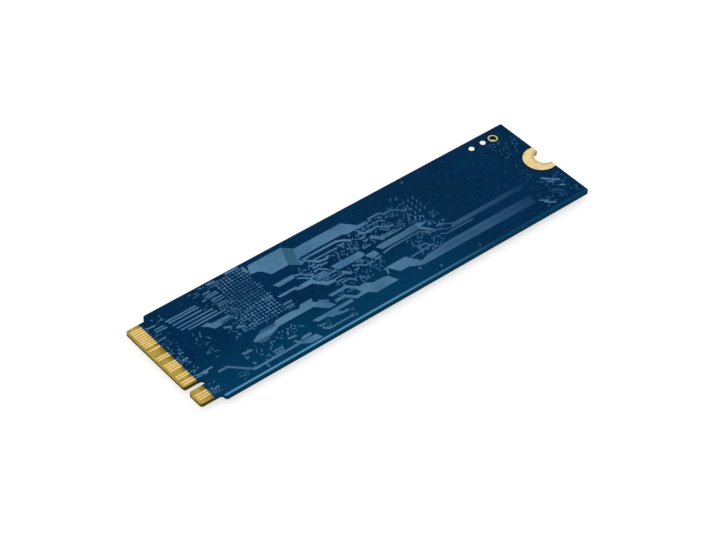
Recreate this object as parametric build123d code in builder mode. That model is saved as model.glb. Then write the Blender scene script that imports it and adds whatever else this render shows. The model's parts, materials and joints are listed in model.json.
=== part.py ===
from build123d import *
import os

# Solid state drive on an M.2 card, 22 mm wide and 80 mm long, with every chip on one side.
# It lies on its chips with the bare side up. +X runs from the contact edge to the screw notch,
# the key slot is towards -Y, and the origin is on the surface below the middle of the board.

# Contact edge
contact_pitch = 0.5
contact_width = 0.35
contact_length = 2.2
contact_setback = 0.3
contact_thickness = 0.05
contact_margin = 0.675
first_pin = 1
last_pin = 75
keyed_pins = range(59, 67)
unused_back_pins = (20, 24, 26, 28, 34, 36, 46, 48, 54, 68)
unused_front_pins = (67, 69)

# Board
board_length = 80.0
board_thickness = 0.8
shoulder_width = 1.075
tongue_length = 4.0
tongue_corner_radius = 0.5
end_corner_radius = 0.3
bevel_length = 0.25
bevel_depth = 0.15
key_width = 1.2
key_depth = 3.5
mask_thickness = 0.03
mask_clearance = 0.1
track_relief = 0.03

# Screw notch, plated hole and test pads
notch_radius = 1.75
screw_pad_rim = 1.3
screw_pad_inset = 0.85
pad_thickness = 0.05
plating_thickness = 0.05
plated_hole_radius = 0.61
plated_hole_rim = 0.29
plated_hole_from_end = 3.7
plated_hole_from_side = 2.05
test_pad_radius = 0.51
test_pads_from_end = (8.4, 5.85)
test_pads_from_side = 1.85

# Via field behind the controller
via_pitch = 0.65
via_length = 0.42
via_width = 0.26
via_columns = 9
via_rows = 19
via_field_middle = (19.95, 4.15)

# Slanted dashes behind the second memory
dash_length = 0.7
dash_width = 0.25
dash_angle = 55
dash_pitch = 1.03
dash_columns = 3
dash_rows = 4
dash_field_middle = (54.5, 4.3)

# Ball grid packages: heights are from the board's face to the outer face
controller_size = 12.0
controller_height = 1.1
controller_from_edge = 13.5
controller_offset = 4.0
controller_ball_pitch = 0.65
flash_length = 18.0
flash_width = 14.0
flash_height = 1.2
flash_gap = 2.6
flash_ball_pitch = 1.0
ball_height = 0.25
ball_radius = 0.2
ball_sides = 5
ball_margin = 0.75
substrate_thickness = 0.28
case_chamfer = 0.06

# Leadless chips
power_chip_size = 4.0
power_chip_height = 0.85
power_chip_offset = -0.6
load_switch_size = 2.0
load_switch_height = 0.75
lead_pitch = 0.5
lead_length = 0.4
lead_width = 0.25
lead_thickness = 0.2

# Crystal
crystal_length = 2.5
crystal_width = 2.0
crystal_base_height = 0.35
crystal_lid_height = 0.2
crystal_lid_inset = 0.15
crystal_lid_radius = 0.3

# Two-terminal chips: length along the board, width, height and terminal length
inductor_size = (2.5, 2.0, 1.0, 0.45)
large_capacitor_size = (2.0, 1.25, 0.9, 0.4)
small_capacitor_size = (1.0, 0.5, 0.5, 0.25)
resistor_size = (1.0, 0.5, 0.35, 0.2)
terminal_wrap = 0.03

# Spacing of the chips
power_gap = 1.6
stack_gap = 0.8
upper_inductor_count = 3
input_capacitor_count = 3
output_capacitor_count = 2
input_capacitors_from_shoulder = 2.4
input_capacitors_from_side = 2.1
lane_pitch = 2.0
lane_count = 4
lane_middle = -1.2
pair_pitch = 0.9
bypass_pitch = 1.6
bypass_count = 6
flash_bypass_pitch = 3.2
flash_bypass_count = 5
resistor_pitch = 1.6
resistor_columns = 4
resistor_rows = 2

# Copper artwork of the bare side, drawn on a grid of unit squares that covers the whole board:
# squares from the contact edge, then squares from the centre line
artwork_grid = (80, 22)
pours = {
    "upper supply": [
        (23.4, 8.8), (24.0, 9.95), (30.8, 9.95), (32.3, 8.45), (42.1, 8.45),
        (44.0, 6.35), (45.8, 6.15), (45.8, 5.6), (41.3, 5.75), (40.6, 6.2), (32.0, 6.2), (31.3, 5.9),
        (31.8, 4.9), (31.0, 4.65), (30.3, 5.1), (29.3, 5.95), (25.8, 5.95), (25.0, 7.4), (24.4, 7.8),
        (23.1, 8.0),
    ],
    "input": [
        (9.9, 3.45), (11.2, 3.5), (11.6, 3.0), (15.0, 2.9), (15.0, 2.3), (13.2, 2.25), (12.8, 1.7),
        (11.4, 1.7), (11.0, 2.4),
    ],
    "core bar": [(24.4, 3.75), (28.2, 3.8), (28.7, 3.5), (28.2, 2.95), (25.0, 2.85)],
    "core run": [
        (23.4, 1.3), (27.1, 1.3), (27.3, 0.95), (28.2, 1.15), (30.2, 1.1), (30.4, 0.4), (31.6, -0.8),
        (33.0, -1.25), (33.0, -1.75), (31.3, -1.7), (29.6, 0.2), (28.4, 0.2), (26.9, 0.35), (26.5, 0.85),
        (23.6, 0.85),
    ],
    "middle": [(34.4, 1.45), (40.3, 1.35), (40.6, 0.35), (40.2, 0.0), (35.2, 0.0), (34.6, 0.7)],
    "middle foot": [(34.9, -0.5), (35.4, -0.6), (36.5, -1.95), (35.7, -1.95), (34.9, -1.1)],
    "middle block": [(40.5, 0.0), (42.3, 0.0), (42.5, -1.2), (41.1, -1.25), (40.4, -0.5)],
    "second supply": [
        (43.0, 0.3), (43.4, 0.55), (49.2, 0.5), (49.8, 0.7), (52.0, 0.75), (53.1, 0.2), (53.1, -0.2),
        (52.0, -0.3), (52.5, -1.0), (53.4, -2.3), (52.9, -2.4), (51.4, -0.7), (43.6, -0.65),
    ],
    "far bundle": [(56.4, -2.95), (72.0, -2.95), (72.0, -3.8), (55.6, -3.8)],
    "lower joint": [
        (41.2, -4.3), (45.3, -4.3), (46.6, -6.3), (46.3, -7.55), (45.4, -7.1), (44.3, -6.45), (42.5, -6.4),
    ],
    "far band": [
        (46.0, -6.6), (46.5, -7.6), (71.0, -7.85), (71.0, -5.85), (52.0, -5.75), (51.3, -6.05),
        (48.4, -6.15), (47.3, -6.6),
    ],
    "lower supply": [
        (34.2, -5.0), (36.3, -4.9), (37.3, -5.7), (39.5, -5.75), (40.2, -6.0), (41.0, -7.75), (36.4, -7.8),
        (35.3, -6.85), (33.0, -6.9), (33.0, -6.4), (34.6, -6.2),
    ],
    "lower bar": [
        (24.4, -6.4), (32.3, -6.4), (32.3, -7.05), (28.8, -7.1), (29.4, -7.7), (30.5, -7.8), (30.4, -8.2),
        (28.9, -8.1), (28.2, -7.8), (27.5, -7.85), (26.8, -7.2), (25.0, -7.15),
    ],
    "controller supply": [
        (14.2, -4.3), (16.6, -3.05), (19.0, -3.1), (19.8, -2.75), (23.0, -2.7), (24.4, -3.0), (25.0, -2.4),
        (27.4, -2.4), (27.0, -3.1), (29.0, -4.9), (29.6, -5.9), (28.3, -5.95), (26.4, -4.1), (19.5, -4.1),
        (17.9, -4.75), (15.6, -5.6),
    ],
    "edge supply": [
        (19.2, -8.1), (19.6, -8.15), (20.4, -8.95), (23.0, -9.0), (23.5, -10.2), (21.2, -10.15),
        (19.7, -9.2),
    ],
    "edge island": [(20.3, -8.6), (21.0, -8.15), (22.6, -8.2), (22.4, -8.7), (20.8, -8.8)],
    "key pad": [(4.2, -4.55), (4.85, -4.5), (5.05, -4.85), (4.95, -5.2), (4.3, -5.3), (4.05, -4.9)],
    "corner island": [(42.6, 4.7), (43.2, 5.05), (44.1, 4.2), (43.7, 3.75)],
    "slanted island": [(43.5, 2.8), (44.2, 3.1), (45.6, 1.6), (45.4, 1.0), (45.0, 1.0)],
}
wide_track = 0.45
wide_tracks = [
    [(6.2, -6.1), (7.9, -6.1), (10.9, -9.1), (19.8, -9.05)],
    [(31.7, 5.5), (38.7, 5.5), (39.9, 5.0), (40.9, 4.15)],
    [(31.9, 5.2), (33.6, 3.5), (35.1, 3.3), (35.6, 3.7)],
    [(30.0, -3.7), (33.4, -3.7), (34.9, -5.1)],
    [(30.0, -5.2), (31.9, -5.2), (33.3, -6.6)],
    [(27.9, -3.55), (29.2, -4.55)],
    [(44.0, 4.1), (46.3, 4.15), (47.3, 3.2), (48.8, 2.7)],
    [(46.2, 5.8), (46.4, 6.4), (48.6, 6.45), (49.1, 5.75), (50.8, 5.8), (52.0, 4.7), (52.8, 4.1)],
    [(75.7, -3.8), (76.7, -4.9), (78.0, -6.0)],
    [(23.05, 10.2), (23.05, 8.6)],
    [(11.4, -5.5), (12.9, -5.5)],
    [(12.6, 1.0), (13.7, 0.4)],
    [(14.1, -0.2), (15.4, -0.7)],
    [(18.9, -7.15), (20.4, -7.4)],
    [(19.9, 10.6), (22.5, 10.6)],
    [(45.1, -7.9), (45.7, -7.8)],
    [(48.3, -9.65), (48.8, -9.4)],
    [(56.4, -10.0), (56.9, -9.5)],
]
narrow_track = 0.3
narrow_tracks = [
    [(6.2, 7.7), (12.0, 7.7)],
    [(6.4, 7.15), (12.2, 7.15)],
    [(6.6, 6.35), (12.2, 6.35)],
    [(6.8, 5.5), (13.8, 5.5)],
    [(7.0, 4.75), (14.0, 4.75)],
    [(8.0, 4.1), (15.3, 4.1)],
    [(2.9, 8.2), (4.5, 8.1)],
    [(3.7, 7.3), (5.5, 7.25)],
    [(3.6, 6.75), (5.7, 6.7)],
    [(2.8, 5.0), (4.3, 5.0)],
    [(3.2, -0.7), (4.3, -0.8)],
    [(3.0, -4.75), (6.1, -4.65)],
    [(3.5, -8.65), (4.5, -8.4)],
    [(14.3, 9.0), (15.8, 9.0)],
    [(14.5, 8.35), (16.6, 8.35)],
    [(14.5, 7.9), (16.7, 7.9)],
    [(14.7, 7.1), (16.8, 7.1)],
    [(14.8, 6.55), (16.9, 6.55)],
    [(14.8, 5.75), (16.8, 5.75)],
    [(14.7, 5.3), (16.8, 5.3)],
    [(28.5, 3.4), (29.2, 3.2), (30.6, 1.85), (31.2, 1.8)],
    [(28.4, 2.6), (29.0, 2.3), (30.1, 1.25), (33.0, 1.2)],
    [(31.6, 1.9), (32.0, 2.2), (32.6, 2.15), (33.6, 1.2)],
    [(31.2, 0.75), (33.2, 0.75)],
    [(30.9, 0.3), (34.6, 0.2)],
    [(31.8, 2.85), (33.2, 2.9), (33.6, 2.6), (34.6, 2.55)],
    [(33.0, 4.3), (38.0, 4.25)],
    [(38.3, 4.6), (39.0, 4.3), (39.6, 4.4)],
    [(33.0, -1.3), (35.2, -1.25)],
    [(32.8, -2.1), (34.2, -2.05)],
    [(33.3, -2.7), (34.8, -2.6), (35.8, -3.4)],
    [(37.2, -0.6), (38.4, -1.3), (39.0, -1.9), (40.4, -1.95)],
    [(36.8, -1.7), (37.8, -1.7)],
    [(38.4, -0.2), (39.4, -1.0)],
    [(41.0, -1.7), (42.4, -1.7)],
    [(43.1, -1.45), (45.0, -1.15), (51.0, -1.15), (52.5, -2.6)],
    [(45.2, 1.75), (48.0, 1.75)],
    [(45.3, 1.3), (49.4, 1.3)],
    [(45.0, 5.1), (47.4, 5.05), (48.2, 4.7)],
    [(46.2, 3.4), (47.4, 2.2)],
    [(47.7, 5.75), (48.4, 5.3)],
    [(48.2, -3.9), (49.8, -3.85), (51.3, -5.9)],
    [(46.0, -4.95), (50.3, -4.85)],
    [(53.0, -2.3), (55.4, -3.6)],
    [(54.0, -1.9), (54.9, -1.9), (56.6, -3.05)],
    [(53.3, -3.7), (54.2, -4.25), (60.0, -4.3)],
    [(24.6, -8.6), (25.4, -9.4), (30.4, -9.4)],
    [(24.5, -8.1), (25.4, -8.1)],
    [(75.9, -5.1), (76.9, -5.8)],
    [(77.0, -7.0), (77.8, -7.6)],
    [(71.6, -7.7), (73.0, -8.8)],
    [(72.1, -8.6), (73.6, -9.9)],
    [(13.4, 7.8), (14.2, 7.8)],
    [(13.0, -9.1), (13.0, -10.2)],
    [(15.3, -8.0), (17.2, -8.0)],
    [(15.3, -8.55), (17.0, -8.55)],
    [(16.2, 10.4), (17.7, 10.4)],
    [(19.6, -5.9), (19.55, -6.6)],
    [(22.9, -0.75), (24.7, -0.75)],
    [(22.9, -1.2), (24.6, -1.2)],
    [(22.9, -1.65), (24.5, -1.65)],
    [(22.9, -2.1), (24.3, -2.1)],
    [(31.6, 3.5), (32.8, 3.5)],
    [(40.8, -4.3), (41.0, -4.9), (40.6, -5.7)],
    [(41.2, 1.4), (42.8, 1.45)],
    [(42.1, 3.55), (43.1, 3.4)],
    [(42.3, 2.75), (43.3, 2.7)],
    [(52.1, 7.5), (52.5, 8.1)],
    [(53.0, 7.0), (53.4, 7.6)],
    [(56.4, 9.6), (56.8, 10.2)],
    [(4.9, -10.8), (62.0, -10.8)],
]

# Sizes worked out from the ones above
middle_pin = (first_pin + last_pin) / 2
tongue_width = (last_pin - first_pin) * contact_pitch / 2 + 2 * contact_margin
board_width = tongue_width + 2 * shoulder_width
shoulder_radius = min(tongue_corner_radius, 0.45 * shoulder_width)
tip_x = -board_length / 2
end_x = board_length / 2
side_y = board_width / 2
shoulder_x = tip_x + tongue_length
contact_x = tip_x + contact_setback + contact_length / 2
mask_start_x = tip_x + contact_setback + contact_length + mask_clearance
screw_pad_radius = notch_radius + screw_pad_rim
screw_pad_x = end_x - screw_pad_inset
plated_ring_radius = plated_hole_radius + plated_hole_rim
plated_hole_spot = (end_x - plated_hole_from_end, side_y - plated_hole_from_side)
test_pad_spots = [(end_x - distance, side_y - test_pads_from_side) for distance in test_pads_from_end]

# Heights above the surface that the drive lies on: the tallest chip stands on it
front_z = max(flash_height, controller_height, power_chip_height, inductor_size[2], large_capacitor_size[2])
core_front_z = front_z + mask_thickness
core_thickness = board_thickness - 2 * mask_thickness
core_back_z = core_front_z + core_thickness
back_z = front_z + board_thickness


def pin_y(pin):
    """Distance of a contact from the centre line: odd pins are on the chip side, even ones behind."""
    return (middle_pin - pin) * contact_pitch / 2


def on_board(square):
    """Place on the board of a point of the artwork grid."""
    along = tip_x + square[0] * board_length / artwork_grid[0]
    across = square[1] * board_width / artwork_grid[1]
    return (along, across)


key_y = pin_y((keyed_pins[0] + keyed_pins[-1]) / 2)

# Outline of the card, with its key slot, screw notch and plated hole
with BuildSketch() as board_outline:
    with Locations(((shoulder_x + end_x) / 2, 0)):
        Rectangle(board_length - tongue_length, board_width)
    with Locations(((tip_x + shoulder_x) / 2, 0)):
        Rectangle(tongue_length, tongue_width)
    fillet(board_outline.vertices().group_by(Axis.X)[1], shoulder_radius)
    fillet(board_outline.vertices().group_by(Axis.X)[-1], end_corner_radius)
    with Locations((tip_x, key_y)):
        SlotOverall(2 * key_depth, key_width, mode=Mode.SUBTRACT)
    fillet(board_outline.vertices().group_by(Axis.X)[0], tongue_corner_radius)
    with Locations((end_x, 0)):
        Circle(notch_radius + plating_thickness, mode=Mode.SUBTRACT)
    with Locations(plated_hole_spot):
        Circle(plated_hole_radius + plating_thickness, mode=Mode.SUBTRACT)

# Glass-epoxy core, bevelled on both faces where it enters the socket
with BuildPart() as printed_board:
    with BuildSketch(Plane.XY.offset(core_front_z)):
        add(board_outline.sketch)
    extrude(amount=core_thickness)
    with BuildSketch(Plane.XZ):
        with BuildLine():
            Polyline(
                (tip_x, core_back_z - bevel_depth),
                (tip_x + bevel_length, core_back_z),
                (tip_x, core_back_z),
                close=True,
            )
        make_face()
        with BuildLine():
            Polyline(
                (tip_x, core_front_z + bevel_depth),
                (tip_x + bevel_length, core_front_z),
                (tip_x, core_front_z),
                close=True,
            )
        make_face()
    extrude(amount=tongue_width, both=True, mode=Mode.SUBTRACT)

# Solder mask: it starts behind the contacts and stays clear of the bare pads
with BuildSketch() as front_mask_outline:
    add(board_outline.sketch)
    with Locations(((tip_x + mask_start_x) / 2, 0)):
        Rectangle(mask_start_x - tip_x, board_width, mode=Mode.SUBTRACT)
    with Locations((screw_pad_x, 0)):
        Circle(screw_pad_radius + mask_clearance, mode=Mode.SUBTRACT)
    with Locations((end_x, 0)):
        Rectangle(2 * screw_pad_inset, 2 * screw_pad_radius, mode=Mode.SUBTRACT)
    with Locations(plated_hole_spot):
        Circle(plated_ring_radius + mask_clearance, mode=Mode.SUBTRACT)

with BuildSketch() as back_mask_outline:
    add(front_mask_outline.sketch)
    with Locations(*test_pad_spots):
        Circle(test_pad_radius + mask_clearance, mode=Mode.SUBTRACT)

with BuildPart() as front_solder_mask:
    with BuildSketch(Plane.XY.offset(front_z)):
        add(front_mask_outline.sketch)
    extrude(amount=mask_thickness)

with BuildPart() as back_solder_mask:
    with BuildSketch(Plane.XY.offset(core_back_z)):
        add(back_mask_outline.sketch)
    extrude(amount=mask_thickness)

# Coated copper of the bare side: vias, and the pours and tracks round them, stand up from the mask
with BuildSketch() as via_field:
    with Locations(on_board(via_field_middle)):
        with GridLocations(via_pitch, via_pitch, via_columns, via_rows):
            Rectangle(via_length, via_width)

with BuildSketch() as dash_field:
    with Locations(on_board(dash_field_middle)):
        with GridLocations(dash_pitch, dash_pitch, dash_columns, dash_rows):
            Rectangle(dash_length, dash_width, rotation=dash_angle)

with BuildPart() as back_vias:
    with BuildSketch(Plane.XY.offset(back_z)):
        add(via_field.sketch)
    extrude(amount=track_relief)

with BuildPart() as back_tracks:
    with BuildSketch(Plane.XY.offset(back_z)):
        for outline in pours.values():
            with BuildLine():
                Polyline(*[on_board(square) for square in outline], close=True)
            make_face()
        for line_width, paths in ((wide_track, wide_tracks), (narrow_track, narrow_tracks)):
            for path in paths:
                with BuildLine():
                    Polyline(*[on_board(square) for square in path])
                trace(line_width=line_width)
        add(dash_field.sketch)
        add(via_field.sketch, mode=Mode.SUBTRACT)
    extrude(amount=track_relief)

# Gold contacts, on the bare core in front of the mask
back_pins = [pin for pin in range(2, last_pin, 2) if pin not in (*keyed_pins, *unused_back_pins)]
front_pins = [pin for pin in range(1, last_pin + 1, 2) if pin not in (*keyed_pins, *unused_front_pins)]

with BuildPart() as back_contacts:
    with BuildSketch(Plane.XY.offset(core_back_z)):
        with Locations(*[(contact_x, pin_y(pin)) for pin in back_pins]):
            Rectangle(contact_length, contact_width)
    extrude(amount=contact_thickness)

with BuildPart() as front_contacts:
    with BuildSketch(Plane.XY.offset(core_front_z - contact_thickness)):
        with Locations(*[(contact_x, pin_y(pin)) for pin in front_pins]):
            Rectangle(contact_length, contact_width)
    extrude(amount=contact_thickness)

# Gold lining of the screw notch, with a pad on each face
with BuildSketch() as screw_pad_outline:
    with Locations((screw_pad_x, 0)):
        Circle(screw_pad_radius)
    with Locations((end_x + screw_pad_radius, 0)):
        Rectangle(2 * screw_pad_radius, 2 * screw_pad_radius, mode=Mode.SUBTRACT)
    with Locations((end_x, 0)):
        Circle(notch_radius, mode=Mode.SUBTRACT)

with BuildPart() as notch_plating:
    with BuildSketch(Plane.XY.offset(core_front_z - pad_thickness), Plane.XY.offset(core_back_z)):
        add(screw_pad_outline.sketch)
    extrude(amount=pad_thickness)
    with BuildSketch(Plane.XY.offset(core_front_z)):
        with Locations((end_x, 0)):
            Circle(notch_radius + plating_thickness)
            Circle(notch_radius, mode=Mode.SUBTRACT)
            with Locations((screw_pad_radius, 0)):
                Rectangle(2 * screw_pad_radius, 2 * screw_pad_radius, mode=Mode.SUBTRACT)
    extrude(amount=core_thickness)

# Gold lining of the plated hole: its section is a C round the edge of the core
with BuildPart() as plated_hole_lining:
    with BuildSketch(Plane.XZ.offset(-plated_hole_spot[1])):
        with Locations((plated_hole_spot[0] + plated_hole_radius, core_front_z)):
            with Locations((0, -pad_thickness)):
                Rectangle(plated_hole_rim, core_thickness + 2 * pad_thickness, align=(Align.MIN, Align.MIN))
            with Locations((plating_thickness, 0)):
                Rectangle(plated_hole_rim, core_thickness, align=(Align.MIN, Align.MIN), mode=Mode.SUBTRACT)
    revolve(axis=Axis((*plated_hole_spot, 0), (0, 0, 1)))

with BuildPart() as test_pads:
    with BuildSketch(Plane.XY.offset(core_back_z)):
        with Locations(*test_pad_spots):
            Circle(test_pad_radius)
    extrude(amount=pad_thickness)


def ball_ring(length, width, pitch):
    """Places of the outermost balls under a package, about its middle."""
    columns = int((length - 2 * ball_margin) / pitch) + 1
    rows = int((width - 2 * ball_margin) / pitch) + 1
    xs = [(column - (columns - 1) / 2) * pitch for column in range(columns)]
    ys = [(row - (rows - 1) / 2) * pitch for row in range(rows)]
    return [(x, y) for x in xs for y in ys if x in (xs[0], xs[-1]) or y in (ys[0], ys[-1])]


def ball_grid_package(spot, length, width, height, pitch):
    """Moulded case, substrate and outer solder balls of a package on the chip side."""
    outer_z = front_z - height
    substrate_z = front_z - ball_height - substrate_thickness
    with BuildPart() as case:
        with BuildSketch(Plane.XY.offset(outer_z)):
            with Locations(spot):
                Rectangle(length, width)
        extrude(amount=substrate_z - outer_z)
        chamfer(case.faces().sort_by(Axis.Z)[0].edges(), case_chamfer)
    with BuildPart() as substrate:
        with BuildSketch(Plane.XY.offset(substrate_z)):
            with Locations(spot):
                Rectangle(length, width)
        extrude(amount=substrate_thickness)
    with BuildPart() as balls:
        with BuildSketch(Plane.XY.offset(front_z - ball_height)):
            with Locations(spot):
                with Locations(*ball_ring(length, width, pitch)):
                    RegularPolygon(ball_radius, ball_sides)
        extrude(amount=ball_height)
    return case, substrate, balls


def leadless_chip(spot, size, height):
    """Moulded chip with flush leads along all four sides, and those leads."""
    leads_per_side = int((size - 2 * lead_length - 2 * lead_width) / lead_pitch) + 1
    with BuildSketch() as lead_outline:
        with Locations(spot):
            with PolarLocations(0, 4):
                with Locations(((size - lead_length) / 2, 0)):
                    with GridLocations(0, lead_pitch, 1, leads_per_side):
                        Rectangle(lead_length, lead_width)
    with BuildPart() as leads:
        with BuildSketch(Plane.XY.offset(front_z - lead_thickness)):
            add(lead_outline.sketch)
        extrude(amount=lead_thickness)
    with BuildPart() as case:
        with BuildSketch(Plane.XY.offset(front_z - height)):
            with Locations(spot):
                Rectangle(size, size)
        extrude(amount=height)
        with BuildSketch(Plane.XY.offset(front_z - lead_thickness)):
            add(lead_outline.sketch)
        extrude(amount=lead_thickness, mode=Mode.SUBTRACT)
    return case, leads


def two_terminal_chips(spots, size):
    """Bodies and end terminals of like chips: the terminals wrap the ends and carry the bodies."""
    length, width, height, terminal = size
    with BuildPart() as bodies:
        with BuildSketch(Plane.XY.offset(front_z - height + terminal_wrap)):
            with Locations(*spots):
                Rectangle(length - 2 * terminal, width - 2 * terminal_wrap)
        extrude(amount=height - 2 * terminal_wrap)
    with BuildPart() as terminals:
        with BuildSketch(Plane.XY.offset(front_z - height)):
            with Locations(*spots):
                with GridLocations(length - terminal, 0, 2, 1):
                    Rectangle(terminal, width)
        extrude(amount=height)
    return bodies, terminals


# Controller and flash memories, in line along the board with the power parts between them
controller_spot = (tip_x + controller_from_edge + controller_size / 2, controller_offset)
controller_far_x = controller_spot[0] + controller_size / 2
power_length = max(power_chip_size, inductor_size[0], large_capacitor_size[0])
power_x = controller_far_x + power_gap + power_length / 2
flash_1_x = power_x + power_length / 2 + power_gap + flash_length / 2
flash_2_x = flash_1_x + flash_length + flash_gap

controller_case, controller_substrate, controller_balls = ball_grid_package(
    controller_spot, controller_size, controller_size, controller_height, controller_ball_pitch
)
flash_1_case, flash_1_substrate, flash_1_balls = ball_grid_package(
    (flash_1_x, 0), flash_length, flash_width, flash_height, flash_ball_pitch
)
flash_2_case, flash_2_substrate, flash_2_balls = ball_grid_package(
    (flash_2_x, 0), flash_length, flash_width, flash_height, flash_ball_pitch
)

# Power parts, stacked across the board: three inductors, the power chip, one inductor, two capacitors
power_chip_case, power_chip_leads = leadless_chip(
    (power_x, power_chip_offset), power_chip_size, power_chip_height
)
inductor_step = inductor_size[1] + stack_gap
capacitor_step = large_capacitor_size[1] + stack_gap
upper_inductor_y = power_chip_offset + power_chip_size / 2 + stack_gap + inductor_size[1] / 2
lower_inductor_y = power_chip_offset - power_chip_size / 2 - stack_gap - inductor_size[1] / 2
lower_capacitor_y = lower_inductor_y - inductor_size[1] / 2 - stack_gap - large_capacitor_size[1] / 2
inductor_ys = [upper_inductor_y + step * inductor_step for step in range(upper_inductor_count)]
inductor_ys.append(lower_inductor_y)
inductor_bodies, inductor_terminals = two_terminal_chips([(power_x, y) for y in inductor_ys], inductor_size)

# Large capacitors: three and one beside the contacts, two at the end of the power parts
input_x = shoulder_x + input_capacitors_from_shoulder
input_y = side_y - input_capacitors_from_side
large_capacitor_spots = [(input_x, input_y - step * capacitor_step) for step in range(input_capacitor_count)]
large_capacitor_spots.append((input_x, -input_y))
for step in range(output_capacitor_count):
    large_capacitor_spots.append((power_x, lower_capacitor_y - step * capacitor_step))
large_capacitor_bodies, large_capacitor_terminals = two_terminal_chips(
    large_capacitor_spots, large_capacitor_size
)

# Load switch behind the input capacitors
load_switch_x = input_x + large_capacitor_size[0] / 2 + stack_gap + load_switch_size / 2
load_switch_case, load_switch_leads = leadless_chip(
    (load_switch_x, input_y - capacitor_step), load_switch_size, load_switch_height
)

# Small capacitors: a pair on each lane from the contacts, a row by the controller, rows by the flash
small_width = small_capacitor_size[1]
bypass_y = controller_spot[1] - controller_size / 2 - stack_gap - small_width / 2
flash_bypass_y = flash_width / 2 + stack_gap + small_width / 2
small_capacitor_spots = []
for lane in range(lane_count):
    lane_y = lane_middle + (lane - (lane_count - 1) / 2) * lane_pitch
    small_capacitor_spots += [(load_switch_x, lane_y + side * pair_pitch / 2) for side in (-1, 1)]
for step in range(bypass_count):
    bypass_x = controller_spot[0] + (step - (bypass_count - 1) / 2) * bypass_pitch
    small_capacitor_spots.append((bypass_x, bypass_y))
for flash_x in (flash_1_x, flash_2_x):
    for step in range(flash_bypass_count):
        bypass_x = flash_x + (step - (flash_bypass_count - 1) / 2) * flash_bypass_pitch
        small_capacitor_spots += [(bypass_x, flash_bypass_y), (bypass_x, -flash_bypass_y)]
small_capacitor_bodies, small_capacitor_terminals = two_terminal_chips(
    small_capacitor_spots, small_capacitor_size
)

# Crystal and resistors, between the controller's capacitors and the board's side
crystal_y = bypass_y - small_width / 2 - stack_gap - crystal_width / 2
crystal_x = controller_spot[0] - controller_size / 2 + crystal_length / 2
crystal_lid_length = crystal_length - 2 * crystal_lid_inset
crystal_lid_width = crystal_width - 2 * crystal_lid_inset
with BuildPart() as crystal_base:
    with BuildSketch(Plane.XY.offset(front_z - crystal_base_height)):
        with Locations((crystal_x, crystal_y)):
            Rectangle(crystal_length, crystal_width)
    extrude(amount=crystal_base_height)

with BuildPart() as crystal_lid:
    with BuildSketch(Plane.XY.offset(front_z - crystal_base_height - crystal_lid_height)):
        with Locations((crystal_x, crystal_y)):
            RectangleRounded(crystal_lid_length, crystal_lid_width, crystal_lid_radius)
    extrude(amount=crystal_lid_height)

resistor_start_x = crystal_x + crystal_length / 2 + stack_gap + resistor_size[0] / 2
resistor_step_y = resistor_size[1] + stack_gap
resistor_spots = []
for row in range(resistor_rows):
    resistor_y = crystal_y + crystal_width / 2 - resistor_size[1] / 2 - row * resistor_step_y
    for column in range(resistor_columns):
        resistor_spots.append((resistor_start_x + column * resistor_pitch, resistor_y))
resistor_bodies, resistor_terminals = two_terminal_chips(resistor_spots, resistor_size)

# One file for each piece
os.makedirs("parts", exist_ok=True)
pieces = {
    "printed_board": printed_board,
    "front_solder_mask": front_solder_mask,
    "back_solder_mask": back_solder_mask,
    "back_tracks": back_tracks,
    "back_vias": back_vias,
    "back_contacts": back_contacts,
    "front_contacts": front_contacts,
    "notch_plating": notch_plating,
    "plated_hole_lining": plated_hole_lining,
    "test_pads": test_pads,
    "controller_case": controller_case,
    "controller_substrate": controller_substrate,
    "controller_balls": controller_balls,
    "flash_1_case": flash_1_case,
    "flash_1_substrate": flash_1_substrate,
    "flash_1_balls": flash_1_balls,
    "flash_2_case": flash_2_case,
    "flash_2_substrate": flash_2_substrate,
    "flash_2_balls": flash_2_balls,
    "power_chip_case": power_chip_case,
    "power_chip_leads": power_chip_leads,
    "inductor_bodies": inductor_bodies,
    "inductor_terminals": inductor_terminals,
    "load_switch_case": load_switch_case,
    "load_switch_leads": load_switch_leads,
    "large_capacitor_bodies": large_capacitor_bodies,
    "large_capacitor_terminals": large_capacitor_terminals,
    "small_capacitor_bodies": small_capacitor_bodies,
    "small_capacitor_terminals": small_capacitor_terminals,
    "crystal_base": crystal_base,
    "crystal_lid": crystal_lid,
    "resistor_bodies": resistor_bodies,
    "resistor_terminals": resistor_terminals,
}
for name, piece in pieces.items():
    piece.part.label = name
    export_step(piece.part, f"parts/{name}.step")
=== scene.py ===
import json
import math
import random

import bmesh
import bpy
from mathutils import Matrix, Vector


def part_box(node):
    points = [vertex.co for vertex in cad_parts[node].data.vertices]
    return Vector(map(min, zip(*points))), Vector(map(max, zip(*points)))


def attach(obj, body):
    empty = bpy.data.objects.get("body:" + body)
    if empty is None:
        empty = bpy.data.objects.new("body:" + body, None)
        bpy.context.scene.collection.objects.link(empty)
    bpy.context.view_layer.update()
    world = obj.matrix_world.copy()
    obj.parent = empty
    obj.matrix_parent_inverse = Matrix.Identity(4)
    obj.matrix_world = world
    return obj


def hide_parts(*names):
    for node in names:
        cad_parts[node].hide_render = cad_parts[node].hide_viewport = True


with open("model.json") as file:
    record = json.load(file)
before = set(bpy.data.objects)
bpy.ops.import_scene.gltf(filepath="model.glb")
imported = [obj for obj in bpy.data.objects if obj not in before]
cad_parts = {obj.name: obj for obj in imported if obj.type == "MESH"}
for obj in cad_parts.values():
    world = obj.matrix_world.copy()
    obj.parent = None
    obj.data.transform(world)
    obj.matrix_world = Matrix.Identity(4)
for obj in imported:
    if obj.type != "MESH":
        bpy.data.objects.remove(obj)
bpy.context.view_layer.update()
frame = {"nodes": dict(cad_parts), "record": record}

# Looks of a solid state drive on an M.2 card, lying on its chips with the bare side up.
# Lengths below are in millimetres, and MM turns them into metres. A span is a low and a high end.
# A board place is a distance from the contact edge and one from the centre line.
MM = 0.001

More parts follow.
